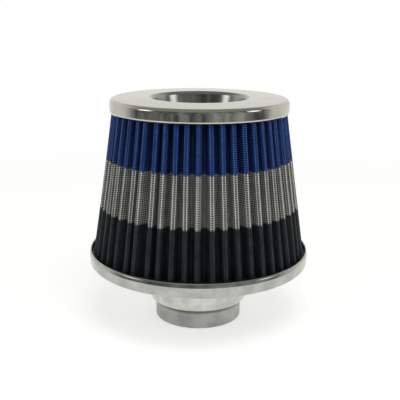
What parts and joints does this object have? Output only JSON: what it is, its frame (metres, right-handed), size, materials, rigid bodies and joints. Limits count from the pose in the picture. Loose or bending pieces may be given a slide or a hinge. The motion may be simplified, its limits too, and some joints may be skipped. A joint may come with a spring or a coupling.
{
  "type": "cone air filter",
  "caption": "Tapered pleated air filter for an engine intake: banded screen folds between a dished polished cap and a polished base pan, on a short tube neck for a hose.",
  "frame": {"origin": "centre of the neck's mouth, on the plane the filter stands on", "axes": "+Z along the filter's axis, from the neck's mouth up to the cap; X and Y are alike"},
  "size_m": [0.1524, 0.1524, 0.1552],
  "materials": {
    "dull_aluminium": "dull, as drawn",
    "polished_pan": "polished",
    "polished_cap": "polished",
    "cast_seal": "matt cast polyurethane",
    "black_screen": "woven screen, black",
    "grey_screen": "woven screen, light grey",
    "blue_screen": "woven screen, blue"
  },
  "bodies": {
    "root": {"neck_tube": "dull_aluminium", "base_pan": "polished_pan", "bottom_seal": "cast_seal", "pleats_black": "black_screen", "pleats_grey": "grey_screen", "pleats_blue": "blue_screen", "top_seal": "cast_seal", "top_cap": "polished_cap"}
  },
  "joints": []
}
